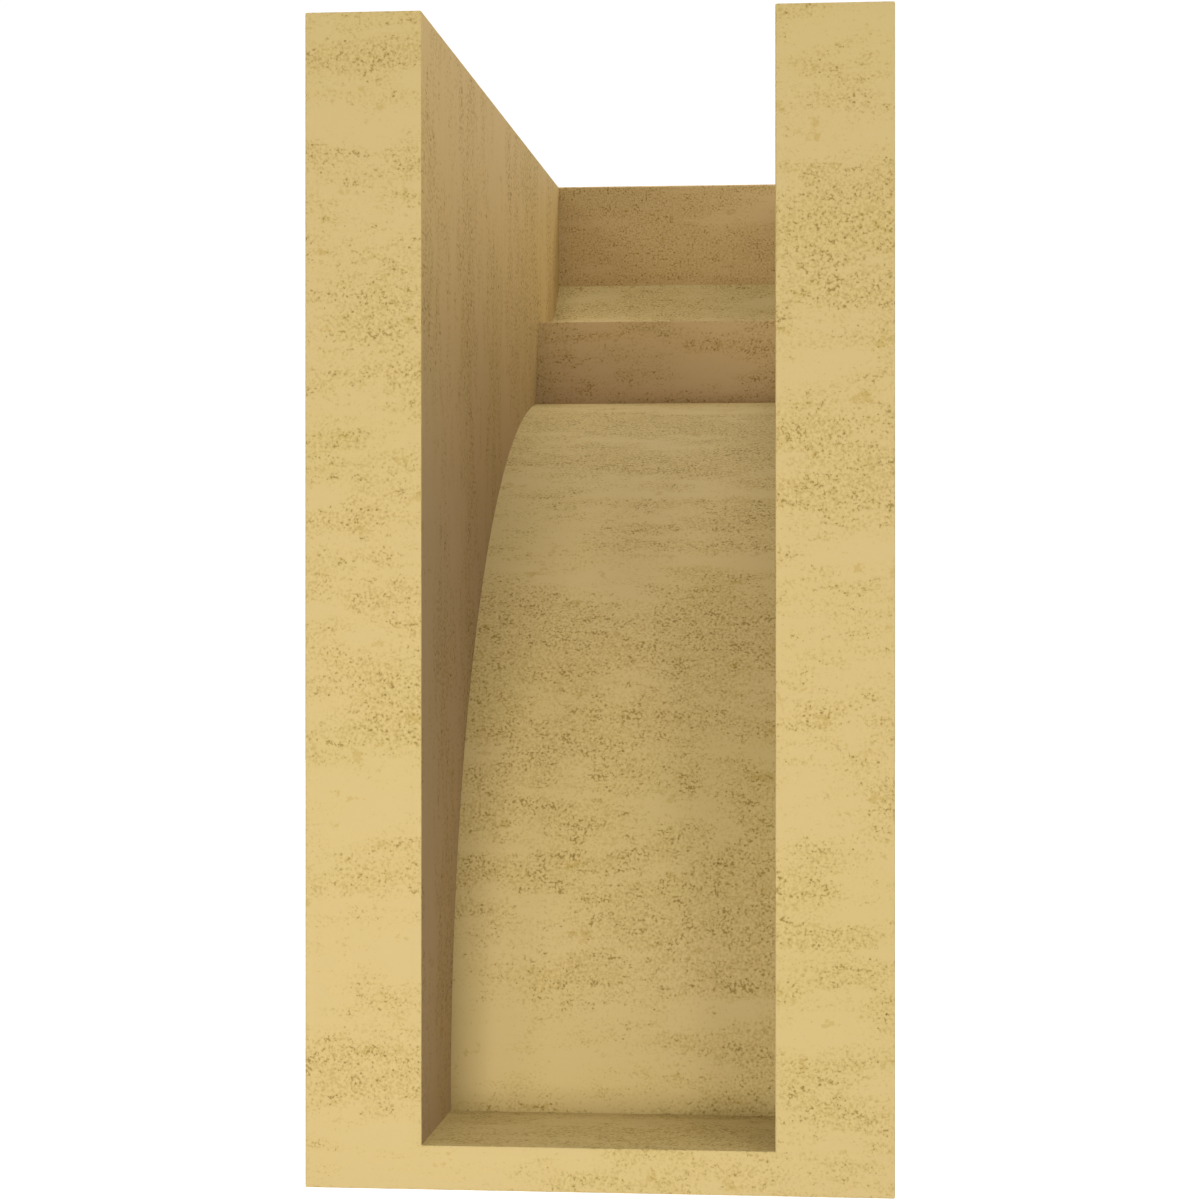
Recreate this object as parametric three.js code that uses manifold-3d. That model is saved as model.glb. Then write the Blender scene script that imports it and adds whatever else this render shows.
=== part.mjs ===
// A hollow corbel moulded in one piece. Two thick side walls are cut to the corbel's profile,
// and a thin shell joins them underneath and in front. The wall side and the top are open.
// X is the width, Y the projection away from the wall, and Z is up.
// The origin is on the wall plane, in the middle of the bottom shell's back edge.

import * as THREE from "three";
import { mergeVertices } from "three/addons/utils/BufferGeometryUtils.js";
import Module from "manifold-3d";

const wasm = await Module();
wasm.setup();

// Overall size, in millimetres
const width = 127;
const projection = 254;
const height = 254;

// Wall thicknesses
const sideWall = 25.4;
const shell = 9.525;

// The profile from the bottom up. The foot is how far the bottom reaches out from the wall,
// and the cove above it is a hollow sweep that starts upright and leans out as it rises.
const footDepth = 48.6;

// The step above the cove: a narrow face that leans out, under a level ledge
const stepHeight = 23.6;
const stepLean = THREE.MathUtils.degToRad(18);
const ledgeWidth = 7.9;

// The ovolo, a bulging round that leaves the ledge level, and the upright fascia that stops it
const ovoloRadius = 50.8;
const ovoloSweep = THREE.MathUtils.degToRad(55.8);
const fasciaHeight = 33.7;

// How finely the rounds are divided, and how far a cut runs past the faces that it opens
const coveSteps = 48;
const ovoloSteps = 20;
const cutMargin = 10;

// Where those sizes put each form, as distances out from the wall plane and up from the bottom
const ovoloCentre = new THREE.Vector2(
  projection - ovoloRadius * Math.sin(ovoloSweep),
  height - fasciaHeight + ovoloRadius * Math.cos(ovoloSweep),
);
const ledgeHeight = ovoloCentre.y - ovoloRadius;
const stepTop = new THREE.Vector2(ovoloCentre.x - ledgeWidth, ledgeHeight);
const stepFoot = new THREE.Vector2(
  stepTop.x - stepHeight * Math.tan(stepLean),
  stepTop.y - stepHeight,
);

// The cove's round starts upright, level with the upper side of the bottom shell, and ends at
// the step's foot. Those two conditions give its radius.
const coveRise = stepFoot.y - shell;
const coveReach = stepFoot.x - footDepth;
const coveRadius = (coveReach ** 2 + coveRise ** 2) / (2 * coveReach);
const coveCentre = new THREE.Vector2(footDepth + coveRadius, shell);

// Points on a round, by angle from the outward direction
function roundPoints(centre, radius, fromAngle, toAngle, steps) {
  return Array.from({ length: steps + 1 }, (_, i) => {
    const angle = THREE.MathUtils.lerp(fromAngle, toAngle, i / steps);
    return new THREE.Vector2(Math.cos(angle), Math.sin(angle)).multiplyScalar(radius).add(centre);
  });
}

// Where a line up the step's face leaves a round about the cove's centre
function faceOnCove(facePoint, radius) {
  const up = new THREE.Vector2(Math.sin(stepLean), Math.cos(stepLean));
  const fromCentre = facePoint.clone().sub(coveCentre);
  const along = fromCentre.dot(up);
  const beyond = fromCentre.lengthSq() - radius ** 2;
  return facePoint.clone().addScaledVector(up, Math.sqrt(along ** 2 - beyond) - along);
}

// The corbel's front from the start of the cove to the fascia's lower edge.
// With an inset it is the same line moved into the material, as the shell's inner side is.
function frontLine(inset) {
  const intoWall = new THREE.Vector2(-Math.cos(stepLean), Math.sin(stepLean));
  const facePoint = stepTop.clone().addScaledVector(intoWall, inset);
  const coveEnd = faceOnCove(facePoint, coveRadius + inset);
  const coveEndAngle = coveEnd.sub(coveCentre).angle();

  const ledge = ledgeHeight + inset;
  const faceTopDepth = facePoint.x + (ledge - facePoint.y) * Math.tan(stepLean);
  const fasciaAngle = -Math.acos((projection - inset - ovoloCentre.x) / (ovoloRadius - inset));

  return [
    ...roundPoints(coveCentre, coveRadius + inset, Math.PI, coveEndAngle, coveSteps),
    new THREE.Vector2(faceTopDepth, ledge),
    ...roundPoints(ovoloCentre, ovoloRadius - inset, -Math.PI / 2, fasciaAngle, ovoloSteps),
  ];
}

// The whole corbel's outline from the side
function outerOutline() {
  return [
    new THREE.Vector2(0, 0),
    new THREE.Vector2(footDepth, 0),
    ...frontLine(0),
    new THREE.Vector2(projection, height),
    new THREE.Vector2(0, height),
  ];
}

// The cavity's outline from the side, which runs out past the wall plane and past the top
function cavityOutline() {
  return [
    new THREE.Vector2(-cutMargin, shell),
    ...frontLine(shell),
    new THREE.Vector2(projection - shell, height + cutMargin),
    new THREE.Vector2(-cutMargin, height + cutMargin),
  ];
}

// A side outline carried across the width, centred on the middle of the corbel
function acrossWidth(outline, across) {
  const geometry = new THREE.ExtrudeGeometry(new THREE.Shape(outline), {
    depth: across,
    bevelEnabled: false,
  });
  const outward = new THREE.Vector3(0, 1, 0);
  const up = new THREE.Vector3(0, 0, 1);
  const sideways = new THREE.Vector3(1, 0, 0);
  geometry.applyMatrix4(new THREE.Matrix4().makeBasis(outward, up, sideways));
  geometry.translate(-across / 2, 0, -shell / 2);
  return geometry;
}

function toSolid(geometry) {
  const bare = geometry.clone();
  bare.deleteAttribute("normal");
  bare.deleteAttribute("uv");
  const merged = mergeVertices(bare);
  const mesh = new wasm.Mesh({
    numProp: 3,
    vertProperties: new Float32Array(merged.attributes.position.array),
    triVerts: new Uint32Array(merged.index.array),
  });
  return new wasm.Manifold(mesh);
}

function toGeometry(solid) {
  const mesh = solid.getMesh();
  const geometry = new THREE.BufferGeometry();
  geometry.setAttribute("position", new THREE.BufferAttribute(mesh.vertProperties, 3));
  geometry.setIndex(new THREE.BufferAttribute(mesh.triVerts, 1));
  geometry.computeVertexNormals();
  return geometry;
}

// The one moulded piece: the full corbel less its cavity
function corbelShell() {
  const block = toSolid(acrossWidth(outerOutline(), width));
  const cavity = toSolid(acrossWidth(cavityOutline(), width - 2 * sideWall));
  const stone = new THREE.MeshStandardMaterial({ color: 0xc9b080, roughness: 0.75, metalness: 0 });
  const mesh = new THREE.Mesh(toGeometry(block.subtract(cavity)), stone);
  mesh.name = "corbel_shell";
  return mesh;
}

const corbel = new THREE.Group();
corbel.add(corbelShell());

export default corbel;
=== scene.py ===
# %% [markdown]
# # A hollow corbel with a travertine finish
# A corbel is a bracket that holds up a shelf or a beam. This one is moulded in one piece, as a hollow
# cover that slips over a plain block on a wall. Two thick side walls are cut to the corbel's profile,
# and a thin shell joins them underneath and in front. The wall side and the top stay open.
# The lesson sets up the camera, the light and the floor, builds the moulding from its sizes with
# Geometry Nodes, and finishes it with a travertine that is made from noise.
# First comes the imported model, which fixes where everything is. It's in metres, with X across the
# corbel, Y out from the wall and Z up.

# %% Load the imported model
import math

import bpy
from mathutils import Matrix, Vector


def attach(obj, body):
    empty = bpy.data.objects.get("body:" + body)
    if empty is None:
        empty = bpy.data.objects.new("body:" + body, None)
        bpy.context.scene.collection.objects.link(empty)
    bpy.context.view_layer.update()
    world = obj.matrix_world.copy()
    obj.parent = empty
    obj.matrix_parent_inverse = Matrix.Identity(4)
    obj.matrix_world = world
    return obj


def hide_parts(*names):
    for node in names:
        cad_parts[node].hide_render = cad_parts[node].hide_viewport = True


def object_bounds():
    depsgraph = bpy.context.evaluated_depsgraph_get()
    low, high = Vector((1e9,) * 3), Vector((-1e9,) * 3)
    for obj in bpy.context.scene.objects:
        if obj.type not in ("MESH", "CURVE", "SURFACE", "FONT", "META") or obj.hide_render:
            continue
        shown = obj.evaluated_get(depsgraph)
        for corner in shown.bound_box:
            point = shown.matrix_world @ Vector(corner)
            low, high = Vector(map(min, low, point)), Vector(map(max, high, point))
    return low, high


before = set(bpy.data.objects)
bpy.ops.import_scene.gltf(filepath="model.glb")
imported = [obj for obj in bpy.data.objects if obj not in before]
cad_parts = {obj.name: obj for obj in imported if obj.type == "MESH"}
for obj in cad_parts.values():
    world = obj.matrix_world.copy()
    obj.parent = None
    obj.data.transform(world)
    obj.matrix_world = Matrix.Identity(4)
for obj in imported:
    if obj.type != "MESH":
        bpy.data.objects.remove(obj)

solid_low, solid_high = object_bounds()
middle = (solid_low + solid_high) / 2
print("model box", [round(v, 4) for v in (*solid_low, *solid_high)])

# %% [markdown]
# ## Camera
# The view looks into the hollow from the wall side, level with the middle of the corbel and five
# degrees round to one side. A camera could be placed by eye, but its distance sets how fast the deep
# parts shrink behind the near ones, so it's worked out from the slope and spacing of straight edges.
# The lens is long for the short distance, because the corbel fills the height of the frame. The frame
# is shifted a few pixels to the side, which moves the corbel in it without turning anything.

# %% Camera
camera_turn = math.radians(5.01)
camera_distance = 0.69157
lens_length, film_width = 79.1955, 36
frame_pixels, pixels_aside = 1200, -49

camera = bpy.data.objects.new("camera", bpy.data.cameras.new("camera"))
bpy.context.scene.collection.objects.link(camera)
camera.location = middle + camera_distance * Vector((math.sin(camera_turn), -math.cos(camera_turn), 0))
camera.rotation_euler = (math.radians(90), 0, camera_turn)
camera.data.sensor_width = film_width
camera.data.lens = lens_length
camera.data.shift_x = pixels_aside / frame_pixels
camera.data.clip_start = 0.01
camera.data.clip_end = 100
bpy.context.scene.camera = camera
print("camera at", [round(v, 4) for v in camera.location])

# %% [markdown]
# ## Sums with nodes
# Both the shape and the finish are node trees, and node trees are full of sums. Linking every Math
# node by hand hides the sum that it does. A small class that wraps a socket lets a line of Python
# such as `radius * angle` add the node by itself, so the sums stay readable.
# Anything else, from a noise to a boolean, comes from one method that takes the node's type, its
# settings and what goes into its sockets.

# %% A socket that can be calculated with
class Wire:
    def __init__(self, socket):
        self.socket = socket

    @property
    def tree(self):
        return self.socket.id_data

    def other(self, name):
        return Wire(find_socket(self.socket.node.outputs, name))

    def math(self, operation, *values):
        terms = dict(enumerate((self, *values)))
        return add_node(self.tree, "ShaderNodeMath", {"operation": operation}, terms)

    def __add__(self, value):
        return self.math("ADD", value)

    def __sub__(self, value):
        return self.math("SUBTRACT", value)

    def __rsub__(self, value):
        return -self + value

    def __mul__(self, value):
        return self.math("MULTIPLY", value)

    def __truediv__(self, value):
        return self.math("DIVIDE", value)

    def __neg__(self):
        return self.math("MULTIPLY", -1.0)

    __radd__ = __add__
    __rmul__ = __mul__


def find_socket(sockets, name):
    if isinstance(name, int):
        return sockets[name]
    return next(socket for socket in sockets if socket.name == name and socket.enabled)


def connect(tree, socket, value):
    if isinstance(value, Wire):
        tree.links.new(value.socket, socket)
    else:
        socket.default_value = value


def add_node(tree, kind, settings=None, inputs=None):
    node = tree.nodes.new(kind)
    for name, value in (settings or {}).items():
        setattr(node, name, value)
    for name, values in (inputs or {}).items():
        socket = find_socket(node.inputs, name)
        for value in values if isinstance(values, list) else [values]:
            connect(tree, socket, value)
    return Wire(next(socket for socket in node.outputs if socket.enabled)) if node.outputs else node


print("Wire can add, subtract, multiply and divide")

# %% [markdown]
# ## Room
# The corbel hangs in the air here, because its wall is left out, so the floor lies well below it.
# A pale floor under a white sky gives light from everywhere, which makes a hollow look flat. The
# real hollow is dark towards its corners, so the sky is white only behind the corbel and dim on the
# camera's side, where softboxes give the light instead.
# Far behind the corbel the floor gives off a little light of its own, so that it meets the white sky
# without a line.

# %% Sky
dim_side, white_side = 0.30, 1.06
dim_until, white_from = -0.15, 0.35

world = bpy.data.worlds.new("studio")
world.use_nodes = True
world.node_tree.nodes.clear()
bpy.context.scene.world = world
sky = world.node_tree
direction = add_node(sky, "ShaderNodeTexCoord").other("Generated")
behind = add_node(sky, "ShaderNodeSeparateXYZ", inputs={"Vector": direction}).other("Y")
strength = add_node(
    sky,
    "ShaderNodeMapRange",
    {"interpolation_type": "SMOOTHSTEP"},
    {
        "Value": behind,
        "From Min": dim_until,
        "From Max": white_from,
        "To Min": dim_side,
        "To Max": white_side,
    },
)
glow = add_node(sky, "ShaderNodeBackground", inputs={"Color": (1, 1, 1, 1), "Strength": strength})
add_node(sky, "ShaderNodeOutputWorld", inputs={"Surface": glow})
bpy.context.scene.view_settings.view_transform = "Standard"
print("sky from", dim_side, "in front to", white_side, "behind")

# %% Floor
floor_drop = 0.65
floor_half = 12.0
pale_grey = (0.82, 0.82, 0.82, 1)
glow_start, glow_end, full_glow = 0.8, 2.4, 0.8

floor_mesh = bpy.data.meshes.new("floor")
corners = [
    (x * floor_half, y * floor_half, -floor_drop) for x, y in ((-1, -1), (1, -1), (1, 1), (-1, 1))
]
floor_mesh.from_pydata(corners, [], [(0, 1, 2, 3)])
floor = bpy.data.objects.new("floor", floor_mesh)
bpy.context.scene.collection.objects.link(floor)

paint = bpy.data.materials.new("floor paint")
paint.use_nodes = True
paint.node_tree.nodes.clear()
floor_place = add_node(paint.node_tree, "ShaderNodeTexCoord").other("Object")
floor_behind = add_node(paint.node_tree, "ShaderNodeSeparateXYZ", inputs={"Vector": floor_place}).other("Y")
floor_glow = add_node(
    paint.node_tree,
    "ShaderNodeMapRange",
    {"interpolation_type": "SMOOTHSTEP"},
    {"Value": floor_behind, "From Min": glow_start, "From Max": glow_end, "To Max": full_glow},
)
floor_shader = add_node(
    paint.node_tree,
    "ShaderNodeBsdfPrincipled",
    inputs={
        "Base Color": pale_grey,
        "Roughness": 0.8,
        "Emission Color": floor_glow,
        "Emission Strength": 1.0,
    },
)
add_node(paint.node_tree, "ShaderNodeOutputMaterial", inputs={"Surface": floor_shader})
floor_mesh.materials.append(paint)
print("floor", floor_drop, "m below the wall edge")

# %% [markdown]
# ## Softboxes
# Each softbox is a square area light aimed at the middle of the corbel. Its place is given as the
# camera's is: an angle round from the camera's side and an angle above the horizon.
# A small one stands close to the lens, a little low and to its left. Light from that near fades fast
# with depth, so the wall edges come out bright, the cove less so and the step and fascia dark, and
# the inside of the left wall stays in shade. Two far ones lift the walls a little. The four large
# ones stand to the right, behind and above, and shape the ledge, the ovolo and the left wall's top.

# %% Softboxes
def softbox(name, turn, rise, distance, size, power):
    lamp = bpy.data.objects.new(name, bpy.data.lights.new(name, "AREA"))
    bpy.context.scene.collection.objects.link(lamp)
    lamp.data.shape = "SQUARE"
    lamp.data.size = size
    lamp.data.energy = power
    around, up = math.radians(turn), math.radians(rise)
    outward = Vector((math.sin(around) * math.cos(up), -math.cos(around) * math.cos(up), math.sin(up)))
    lamp.location = middle + distance * outward
    lamp.rotation_euler = outward.to_track_quat("Z", "Y").to_euler()
    lamp.visible_camera = False
    return lamp


softboxes = [
    softbox("softbox by the lens", turn=-8, rise=-11, distance=0.62, size=0.15, power=1.91),
    softbox("softbox far right", turn=24, rise=3, distance=2.0, size=0.25, power=4.1),
    softbox("softbox far left", turn=-24, rise=24, distance=2.0, size=0.25, power=3.5),
    softbox("softbox right", turn=40, rise=30, distance=1.1, size=0.5, power=3.1),
    softbox("softbox behind", turn=120, rise=45, distance=1.1, size=0.5, power=4.5),
    softbox("softbox over the front", turn=180, rise=65, distance=1.1, size=0.5, power=2.5),
    softbox("softbox above", turn=0, rise=89, distance=1.1, size=0.5, power=4.7),
]
print(len(softboxes), "softboxes")

# %% [markdown]
# ## Profile
# The side view of the corbel has five forms, from the bottom up: a short foot, a cove that sweeps
# out, a narrow step that leans under a level ledge, a bulging ovolo and an upright fascia.
# A mould maker would draw that line once and shift it inwards by the shell's thickness for the core
# that leaves the hollow. The node tree does the same, so a change of one size moves both lines.
# All lengths are in metres and all angles in radians, as Blender's nodes want them.

# %% Sizes of the moulding
sizes = {
    "Width": 0.127,
    "Projection": 0.254,
    "Height": 0.254,
    "Side wall": 0.0254,
    "Shell": 0.009525,
    "Foot depth": 0.0486,
    "Step height": 0.0236,
    "Step lean": math.radians(18),
    "Ledge width": 0.0079,
    "Ovolo radius": 0.0508,
    "Ovolo sweep": math.radians(55.8),
    "Fascia height": 0.0337,
    "Cove steps": 96,
    "Ovolo steps": 40,
}

moulding = bpy.data.node_groups.new("hollow corbel", "GeometryNodeTree")
moulding.is_modifier = True
moulding.interface.new_socket("Geometry", in_out="OUTPUT", socket_type="NodeSocketGeometry")
for name, value in sizes.items():
    kind = "NodeSocketInt" if name.endswith("steps") else "NodeSocketFloat"
    moulding.interface.new_socket(name, in_out="INPUT", socket_type=kind).default_value = value
moulding.interface.new_socket("Finish", in_out="INPUT", socket_type="NodeSocketMaterial")
given = add_node(moulding, "NodeGroupInput")
print("named inputs:", ", ".join(sizes))

# %% [markdown]
# The places of the forms follow from the sizes. The ovolo hangs from the top by the fascia, the step
# hangs from the ovolo by the ledge, and the cove has to start upright at the foot and end at the
# step. Those two conditions fix its radius, by the same rule that gives a circle's radius from how
# far it rises over a chord.

# %% Places of the forms
shell, foot_depth = given.other("Shell"), given.other("Foot depth")
projection, height = given.other("Projection"), given.other("Height")
step_lean, ovolo_radius = given.other("Step lean"), given.other("Ovolo radius")


def sine(angle):
    return angle.math("SINE")


def cosine(angle):
    return angle.math("COSINE")


def slope(angle):
    return angle.math("TANGENT")


ovolo_out = projection - ovolo_radius * sine(given.other("Ovolo sweep"))
ovolo_up = height - given.other("Fascia height") + ovolo_radius * cosine(given.other("Ovolo sweep"))
ledge_up = ovolo_up - ovolo_radius
step_top_out = ovolo_out - given.other("Ledge width")
step_foot_out = step_top_out - given.other("Step height") * slope(step_lean)
step_foot_up = ledge_up - given.other("Step height")
cove_rise = step_foot_up - shell
cove_reach = step_foot_out - foot_depth
cove_radius = (cove_reach * cove_reach + cove_rise * cove_rise) / (cove_reach * 2.0)
cove_out = foot_depth + cove_radius
print("sums so far:", len(moulding.nodes), "nodes")

# %% [markdown]
# Now the line itself. An arc that is drawn about its own centre and then moved is easier to follow
# than one through three points. The inner line uses the same centres: the cove's radius grows by the
# shell's thickness and the ovolo's shrinks by it. The inner cove has to stop where it meets the
# shifted face of the step, which comes from the distance between that face and the cove's centre.

# %% Front line, with or without an inset
def point(out, up):
    return add_node(moulding, "ShaderNodeCombineXYZ", inputs={"X": out, "Y": up})


def straight(start, end):
    return add_node(moulding, "GeometryNodeCurvePrimitiveLine", inputs={"Start": start, "End": end})


def arc(centre, radius, start, sweep, steps):
    about_itself = add_node(
        moulding,
        "GeometryNodeCurveArc",
        inputs={"Resolution": steps + 1.0, "Radius": radius, "Start Angle": start, "Sweep Angle": sweep},
    )
    return add_node(
        moulding, "GeometryNodeTransform", inputs={"Geometry": about_itself, "Translation": centre}
    )


def front_line(inset):
    face_out = step_top_out - inset * cosine(step_lean)
    face_up = ledge_up + inset * sine(step_lean)
    radius = cove_radius + inset

    from_centre_out, from_centre_up = face_out - cove_out, face_up - shell
    along = from_centre_out * sine(step_lean) + from_centre_up * cosine(step_lean)
    beyond = from_centre_out * from_centre_out + from_centre_up * from_centre_up - radius * radius
    slide = (along * along - beyond).math("SQRT") - along
    foot_out = face_out + slide * sine(step_lean)
    foot_up = face_up + slide * cosine(step_lean)
    end_angle = (foot_up - shell).math("ARCTAN2", foot_out - cove_out)

    top_up = ledge_up + inset
    top_out = face_out + (top_up - face_up) * slope(step_lean)
    ovolo = ovolo_radius - inset
    crease_out = projection - inset
    crease_angle = -((crease_out - ovolo_out) / ovolo).math("ARCCOSINE")
    crease_up = ovolo_up + ovolo * sine(crease_angle)

    pieces = [
        arc(point(cove_out, shell), radius, math.pi, end_angle - math.pi, given.other("Cove steps")),
        straight(point(foot_out, foot_up), point(top_out, top_up)),
        straight(point(top_out, top_up), point(ovolo_out, top_up)),
        arc(
            point(ovolo_out, ovolo_up),
            ovolo,
            -math.pi / 2,
            crease_angle + math.pi / 2,
            given.other("Ovolo steps"),
        ),
    ]
    return pieces, point(foot_depth - inset, shell), point(crease_out, crease_up)


print("the front line has a cove, a step, a ledge and an ovolo")

# %% [markdown]
# ## From line to solid
# The outline is closed by straight lines, filled as one face and pushed out across the width. The
# pieces of the line only touch end to end, so they're merged into one loop before the fill. The core
# runs past the wall side and the top by a margin, so that both come out open. The outer line is the
# one with an inset of zero shells.
# The corbel is drawn lying in the ground plane, because the fill works there, and then stood up.

# %% Fill, push out and stand up
touching = 1e-6


def chain(points):
    return [straight(start, end) for start, end in zip(points, points[1:])]


def merged(geometry):
    return add_node(
        moulding, "GeometryNodeMergeByDistance", inputs={"Geometry": geometry, "Distance": touching}
    )


def solid(lines, across):
    joined = add_node(moulding, "GeometryNodeJoinGeometry", inputs={"Geometry": lines})
    edges = add_node(moulding, "GeometryNodeCurveToMesh", inputs={"Curve": joined})
    outline = add_node(moulding, "GeometryNodeMeshToCurve", inputs={"Mesh": merged(edges)})
    face = add_node(moulding, "GeometryNodeFillCurve", {"mode": "NGONS"}, {"Curve": outline})
    offset = add_node(moulding, "ShaderNodeCombineXYZ", inputs={"Z": across})
    pushed = add_node(moulding, "GeometryNodeExtrudeMesh", inputs={"Mesh": face, "Offset": offset})
    bottom = add_node(moulding, "GeometryNodeFlipFaces", inputs={"Mesh": face})
    both = add_node(moulding, "GeometryNodeJoinGeometry", inputs={"Geometry": [pushed, bottom]})
    stand = add_node(moulding, "ShaderNodeCombineXYZ", inputs={"X": across * -0.5, "Z": shell * -0.5})
    return add_node(
        moulding,
        "GeometryNodeTransform",
        inputs={
            "Geometry": merged(both),
            "Translation": stand,
            "Rotation": (math.radians(90), 0, math.radians(90)),
        },
    )


outer_pieces, cove_start, outer_crease = front_line(shell * 0.0)
outer_lines = outer_pieces + chain(
    [
        outer_crease,
        point(projection, height),
        point(0.0, height),
        point(0.0, 0.0),
        point(foot_depth, 0.0),
        cove_start,
    ]
)
block = solid(outer_lines, given.other("Width"))

margin = 0.01
inner_pieces, plate_end, inner_crease = front_line(shell)
inner_lines = inner_pieces + chain(
    [
        inner_crease,
        point(projection - shell, height + margin),
        point(-margin, height + margin),
        point(-margin, shell),
        plate_end,
    ]
)
core = solid(inner_lines, given.other("Width") - 2.0 * given.other("Side wall"))
print("block and core:", len(moulding.nodes), "nodes")

# %% [markdown]
# ## Hollow and edges
# Taking the core from the block leaves the hollow, as lifting the core from a mould does. The core's
# faces carry two marks into it for the finish: one for the whole hollow, and one for its walls and
# steep faces above the cove, where the finish paints shade and light. A third mark tells the side
# faces, where the stone's bands run upright.
# The edges that stand proud get a weight, so that only they are rounded. Inside corners stay sharp.
# All folded edges are shaded sharp and the rest smooth, which hides the steps of the rounds.

# %% Hollow, marks and finish
side_normal, steep_normal = 0.7, 0.4
fold_angle = math.radians(20)


def mark(geometry, name, domain, value):
    return add_node(
        moulding,
        "GeometryNodeStoreNamedAttribute",
        {"data_type": "FLOAT", "domain": domain},
        {"Geometry": geometry, "Name": name, "Value": value},
    )


def parts_of(vector):
    return add_node(moulding, "ShaderNodeSeparateXYZ", inputs={"Vector": vector})


normal = parts_of(add_node(moulding, "GeometryNodeInputNormal"))
place = parts_of(add_node(moulding, "GeometryNodeInputPosition"))
is_side = normal.math("ABSOLUTE").math("GREATER_THAN", side_normal)
is_steep = normal.other("Z").math("ABSOLUTE").math("LESS_THAN", steep_normal)
above_cove = place.other("Z").math("GREATER_THAN", step_foot_up - shell)

hollow_core = mark(core, "hollow", "FACE", 1.0)
# This mark picks the faces that get painted shade and light: the hollow's walls and its steep faces above
# the cove.
core_with_painted_shade = mark(hollow_core, "glazed", "FACE", is_steep * is_side.math("MAXIMUM", above_cove))
hollowed = add_node(
    moulding,
    "GeometryNodeMeshBoolean",
    {"operation": "DIFFERENCE", "solver": "EXACT"},
    {"Mesh 1": block, "Mesh 2": core_with_painted_shade},
)
with_sides = mark(hollowed, "side_face", "FACE", is_side)

edge_angle = add_node(moulding, "GeometryNodeInputMeshEdgeAngle")
folded = edge_angle.math("GREATER_THAN", fold_angle)
proud = edge_angle.other("Signed Angle").math("GREATER_THAN", fold_angle)
with_weights = mark(with_sides, "bevel_weight_edge", "EDGE", proud)
soft = add_node(
    moulding,
    "GeometryNodeSetShadeSmooth",
    {"domain": "FACE"},
    {"Geometry": with_weights, "Shade Smooth": True},
)
shaded = add_node(
    moulding,
    "GeometryNodeSetShadeSmooth",
    {"domain": "EDGE"},
    {"Geometry": soft, "Selection": folded, "Shade Smooth": False},
)
realized = add_node(moulding, "GeometryNodeRealizeInstances", inputs={"Geometry": shaded})
finished = add_node(
    moulding, "GeometryNodeSetMaterial", inputs={"Geometry": realized, "Material": given.other("Finish")}
)
add_node(moulding, "NodeGroupOutput", inputs={"Geometry": finished})
print("whole tree:", len(moulding.nodes), "nodes")

# %% [markdown]
# ## Travertine
# Travertine is a limestone laid down in thin beds by springs. Its face is a calm honey colour, with
# beds of dark specks and fine veins, and soft stains in between. On a moulded corbel all of that is
# colour on a smooth face, so nothing is raised or pitted.
# An image of stone would show seams at every edge and can't follow a change of size. Noise can: one
# field, stretched along the bed, says where the beds are, and finer fields make the specks in them.
# They're measured in millimetres, because the real specks are about half a millimetre.

# %% Fields of noise
travertine = bpy.data.materials.new("travertine finish")
travertine.use_nodes = True
stone = travertine.node_tree
stone.nodes.clear()
seed_steps = (37.1, 91.7, 53.3)


def scaled(vector, x, y, z):
    return add_node(stone, "ShaderNodeVectorMath", {"operation": "MULTIPLY"}, {0: vector, 1: (x, y, z)})


def shifted(vector, seed):
    shift = tuple(seed * step for step in seed_steps)
    return add_node(stone, "ShaderNodeVectorMath", {"operation": "ADD"}, {0: vector, 1: shift})


def noise(vector, grain, seed, detail=3.0, roughness=0.5):
    return add_node(
        stone,
        "ShaderNodeTexNoise",
        {"noise_dimensions": "3D"},
        {
            "Vector": shifted(vector, seed),
            "Scale": 1 / grain,
            "Detail": detail,
            "Roughness": roughness,
        },
    )


def ramp(value, start, full):
    return add_node(
        stone,
        "ShaderNodeMapRange",
        {"interpolation_type": "SMOOTHSTEP"},
        {"Value": value, "From Min": start, "From Max": full},
    )


def attribute(name):
    return add_node(stone, "ShaderNodeAttribute", {"attribute_name": name}).other("Fac")


def blend_vectors(amount, first, second):
    return add_node(
        stone, "ShaderNodeMix", {"data_type": "VECTOR"}, {"Factor": amount, "A": first, "B": second}
    )


def blend_colours(amount, first, second, how="MIX"):
    return add_node(
        stone,
        "ShaderNodeMix",
        {"data_type": "RGBA", "blend_type": how},
        {"Factor": amount, "A": first, "B": second},
    )


millimetres = scaled(add_node(stone, "ShaderNodeTexCoord").other("Object"), 1000, 1000, 1000)
bed_stretch = 3.2
along_beds = scaled(millimetres, 1 / bed_stretch, 1, 1)
upright_beds = scaled(millimetres, 1, 1, 1 / bed_stretch)
beds = blend_vectors(attribute("side_face"), along_beds, upright_beds)
print("beds stretched", bed_stretch, "times along the stone")

# %% [markdown]
# The beds come in two sizes. Broad ones, a few centimetres high, make one part of a face busy and the
# next one calm, and narrow ones break them into clusters of about fifteen millimetres by four.
# Two heights are busier than the rest, and so are one side of the corbel and the hollow, where nobody
# rubs it down. Heights and widths are in millimetres here, as the fields are.

# %% Beds
broad_share, narrow_share = 0.45, 0.55
low_gain, high_gain, side_gain, hollow_gain = 0.03, 0.025, 0.015, 0.05
wall_calm = 0.9

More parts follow.
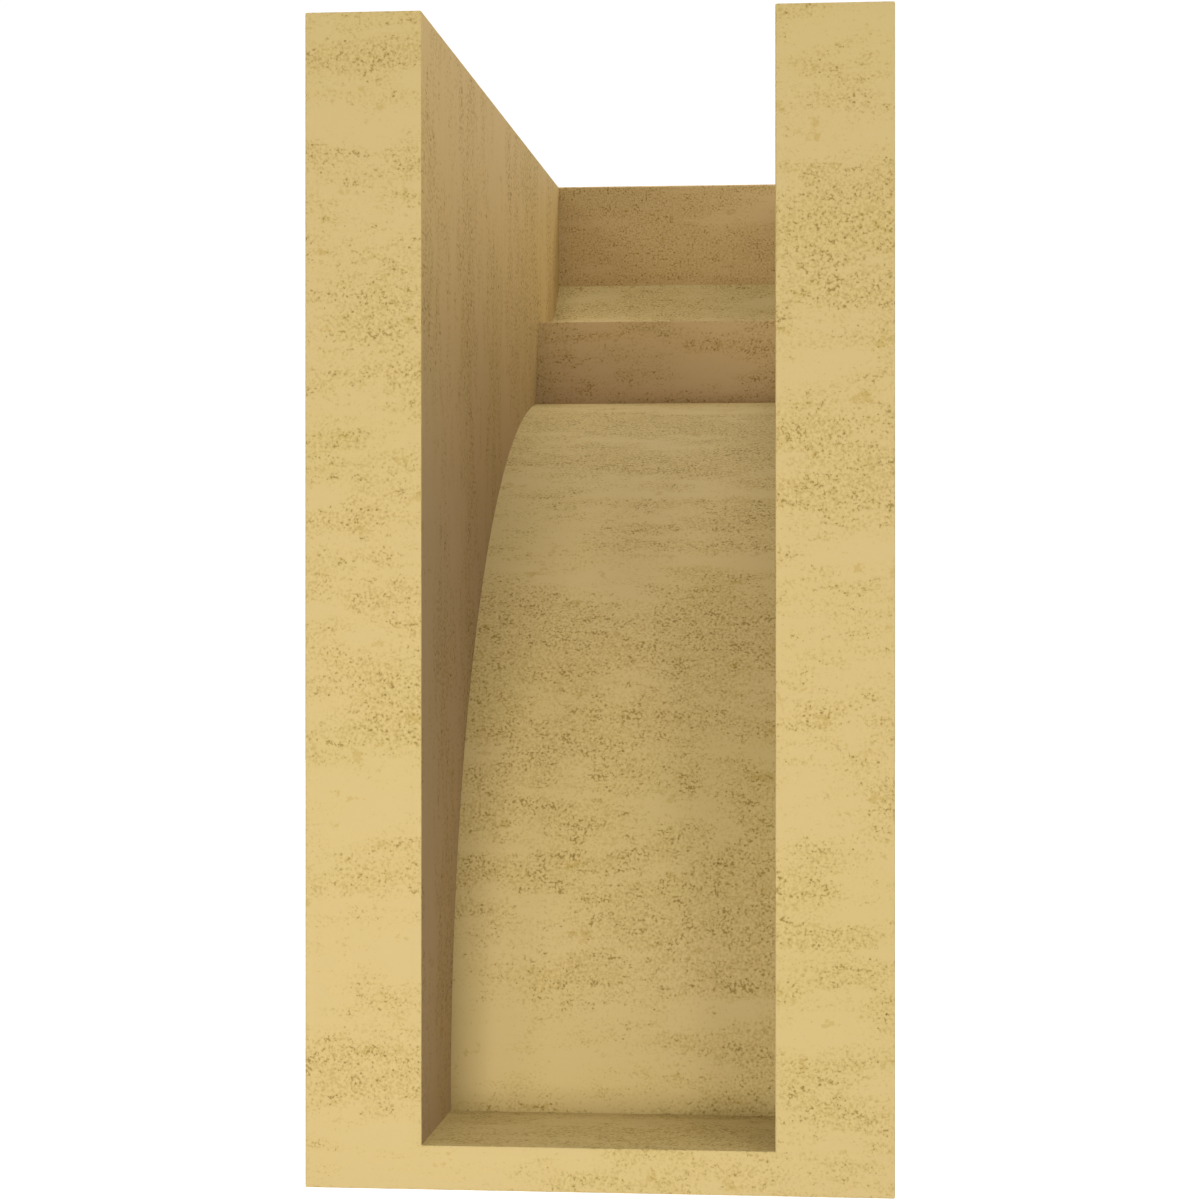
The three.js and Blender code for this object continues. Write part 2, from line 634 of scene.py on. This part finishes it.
broad = noise(beds, grain=26.0, seed=9, detail=2.0)
narrow = noise(beds, grain=6.0, seed=2, detail=4.0, roughness=0.65)
across = add_node(stone, "ShaderNodeSeparateXYZ", inputs={"Vector": millimetres})
up = across.other("Z")
low_bed = ramp(up, start=50, full=85) * (1.0 - ramp(up, start=110, full=140))
high_bed = ramp(up, start=160, full=185) * (1.0 - ramp(up, start=205, full=225))
one_side = ramp(across, start=0, full=60)
in_hollow = attribute("hollow") * (1.0 - wall_calm * attribute("side_face"))
clusters = broad * broad_share + narrow * narrow_share
busier = low_gain * low_bed + high_gain * high_bed + side_gain * one_side + hollow_gain * in_hollow
busy = ramp(clusters + busier, start=0.39, full=0.605)
print("broad and narrow beds make", len(stone.nodes), "nodes")

# %% [markdown]
# Specks appear where a fine noise passes a level. Outside a cluster the noise is let down, so that
# few specks pass there, and inside it pale grains lie between them. A coarser noise gathers the dark
# ones in knots, so that they don't lie as evenly as dust. On the walls of the hollow all marks are
# drawn out a little along the wall, as if the core had dragged them when it came out.
# The deepest pores are round dots of their own, which is what the cells of a Voronoi texture are good
# for: each cell's centre is a dot, and each cell's own random number says how large its dot is, or
# that it has none.

# %% Specks, pores and stains
calm_drop, hollow_lift, knot_pull = 0.25, 0.02, 0.6
pore_spacing, largest_pore, pore_edge = 1.5, 0.24, 0.12
luck_share, busy_share = 0.75, 0.25

smeared = scaled(millimetres, 1, 0.3, 0.7)
walls = attribute("hollow") * attribute("side_face")
marks = blend_vectors(walls, millimetres, smeared)
oval_marks = scaled(marks, 0.85, 1, 1)
long_marks = scaled(marks, 0.6, 1, 1)

fine = noise(marks, grain=0.62, seed=3, detail=2.0, roughness=0.6)
level = fine - calm_drop * (1.0 - busy) + hollow_lift * in_hollow
pale = busy * (1.0 - ramp(fine, start=0.30, full=0.44))
faint = ramp(level, start=0.40, full=0.66)
knots = noise(long_marks, grain=2.6, seed=7, roughness=0.6)
dark = ramp(level + (knots - 0.5) * knot_pull, start=0.56, full=0.74)

cells = add_node(
    stone,
    "ShaderNodeTexVoronoi",
    {"feature": "F1"},
    {"Vector": oval_marks, "Scale": 1 / pore_spacing, "Randomness": 1.0},
)
luck = add_node(stone, "ShaderNodeSeparateColor", inputs={"Color": cells.other("Color")}).other("Red")
dot_size = ramp(luck * luck_share + busy * busy_share, start=0.62, full=0.98) * largest_pore
pore = ramp(dot_size - cells.other("Distance"), start=0.0, full=pore_edge)

stain = ramp(noise(oval_marks, grain=4.0, seed=4, detail=4.0, roughness=0.65), start=0.62, full=0.69)
warmth = ramp(noise(beds, grain=40.0, seed=5, detail=2.0), start=0.35, full=0.65)
print("faint and dark specks, round pores, stains and a drift of colour:", len(stone.nodes), "nodes")

# %% [markdown]
# The ground is one honey colour that drifts between a warmer and a greener shade. Every mark above
# multiplies it by a tint of its own, because a thin coat of colour darkens what is under it instead
# of covering it, and the softest marks go on first.
# Last comes painted light and shade on the walls and steep faces of the hollow: a brownish tint that
# stands in for the shade and warm bounce light there. On the walls the painted shade is darkest and
# brownest low down and fades towards the open top, and on the front a painted shade sits at the foot
# of the step. Where it is lightest its tint goes a little above one, which is painted light.

# %% Colour
warm_honey = (0.455, 0.337, 0.141, 1)
olive_honey = (0.447, 0.335, 0.134, 1)
busy_tint = (0.98, 0.975, 0.91, 1)
pale_grain = (1.05, 1.06, 1.09, 1)
faint_speck = (0.835, 0.815, 0.70, 1)
dark_speck = (0.65, 0.60, 0.46, 1)
pore_tint = (0.57, 0.50, 0.37, 1)
stain_tint = (0.84, 0.80, 0.58, 1)
# The four tints below are painted light and shade for the hollow, not colour of the stone.
low_wall_shade = (0.81, 0.76, 0.96, 1)
high_wall_shade = (1.02, 0.95, 0.85, 1)
front_light_and_shade = (1.04, 0.97, 1.06, 1)
step_foot_shade = (0.74, 0.65, 0.76, 1)
stain_strength = 0.7

ground = blend_colours(warmth, olive_honey, warm_honey)
toned = blend_colours(busy, ground, busy_tint, "MULTIPLY")
stained = blend_colours(stain * stain_strength, toned, stain_tint, "MULTIPLY")
grained = blend_colours(pale, stained, pale_grain, "MULTIPLY")
speckled = blend_colours(faint, grained, faint_speck, "MULTIPLY")
darkened = blend_colours(dark, speckled, dark_speck, "MULTIPLY")
pored = blend_colours(pore, darkened, pore_tint, "MULTIPLY")

# Painted shade: darker and browner low on the walls and at the foot of the step, a little lighter above.
wall_painted_shade = blend_colours(ramp(up, start=120, full=235), low_wall_shade, high_wall_shade)
front_painted_shade = blend_colours(ramp(up, start=168, full=208), step_foot_shade, front_light_and_shade)
painted_light_and_shade = blend_colours(attribute("side_face"), front_painted_shade, wall_painted_shade)
coloured = blend_colours(attribute("glazed"), pored, painted_light_and_shade, "MULTIPLY")
print("ground from", olive_honey[:3], "to", warm_honey[:3])

# %% [markdown]
# The finish is matt. It's a little rougher in the specks, and the finest noise lifts it by a few
# hundredths of a millimetre, which is too low to see as relief and only breaks up the shine.

# %% Shader
smoothest, rougher_by = 0.66, 0.1
relief_height, relief_strength = 0.00003, 0.25
speck_depth = 0.4
shine = 0.25

finest = noise(millimetres, grain=0.9, seed=6)
roughness = smoothest + rougher_by * finest + rougher_by * faint
relief = add_node(
    stone,
    "ShaderNodeBump",
    inputs={
        "Strength": relief_strength,
        "Distance": relief_height,
        "Height": finest - speck_depth * dark,
    },
)
finish = add_node(
    stone,
    "ShaderNodeBsdfPrincipled",
    inputs={
        "Base Color": coloured,
        "Roughness": roughness,
        "Specular IOR Level": shine,
        "Normal": relief,
    },
)
add_node(stone, "ShaderNodeOutputMaterial", inputs={"Surface": finish})
print("travertine:", len(stone.nodes), "nodes")

# %% [markdown]
# ## The moulding
# The tree runs as a modifier on an empty mesh. Its inputs are set by their identifiers, a bevel
# rounds the proud edges by a third of a millimetre, and the result is copied into a plain mesh.
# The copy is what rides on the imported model, and the empty carrier goes. So does the empty material
# slot that the carrier brings along.

# %% Bake the moulding
edge_round, edge_steps = 0.00035, 3

carrier = bpy.data.objects.new("carrier", bpy.data.meshes.new("carrier"))
bpy.context.scene.collection.objects.link(carrier)
shape = carrier.modifiers.new("moulding", "NODES")
shape.node_group = moulding
identifiers = {
    item.name: item.identifier
    for item in moulding.interface.items_tree
    if item.item_type == "SOCKET" and item.in_out == "INPUT"
}
for name, value in sizes.items():
    shape[identifiers[name]] = value
shape[identifiers["Finish"]] = travertine

bevel = carrier.modifiers.new("edges", "BEVEL")
bevel.limit_method = "WEIGHT"
bevel.width = edge_round
bevel.segments = edge_steps
bevel.harden_normals = True

graph = bpy.context.evaluated_depsgraph_get()
plain = bpy.data.meshes.new_from_object(
    carrier.evaluated_get(graph), preserve_all_data_layers=True, depsgraph=graph
)
bpy.data.objects.remove(carrier)
if plain.materials[0] is None:
    plain.materials.pop(index=0)
corbel = bpy.data.objects.new("corbel_moulding", plain)
bpy.context.scene.collection.objects.link(corbel)
print(len(plain.vertices), "vertices,", len(plain.polygons), "faces,", len(plain.materials), "material")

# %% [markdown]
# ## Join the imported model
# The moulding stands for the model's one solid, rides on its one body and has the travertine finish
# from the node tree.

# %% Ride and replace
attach(corbel, "root")
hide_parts("corbel_shell")
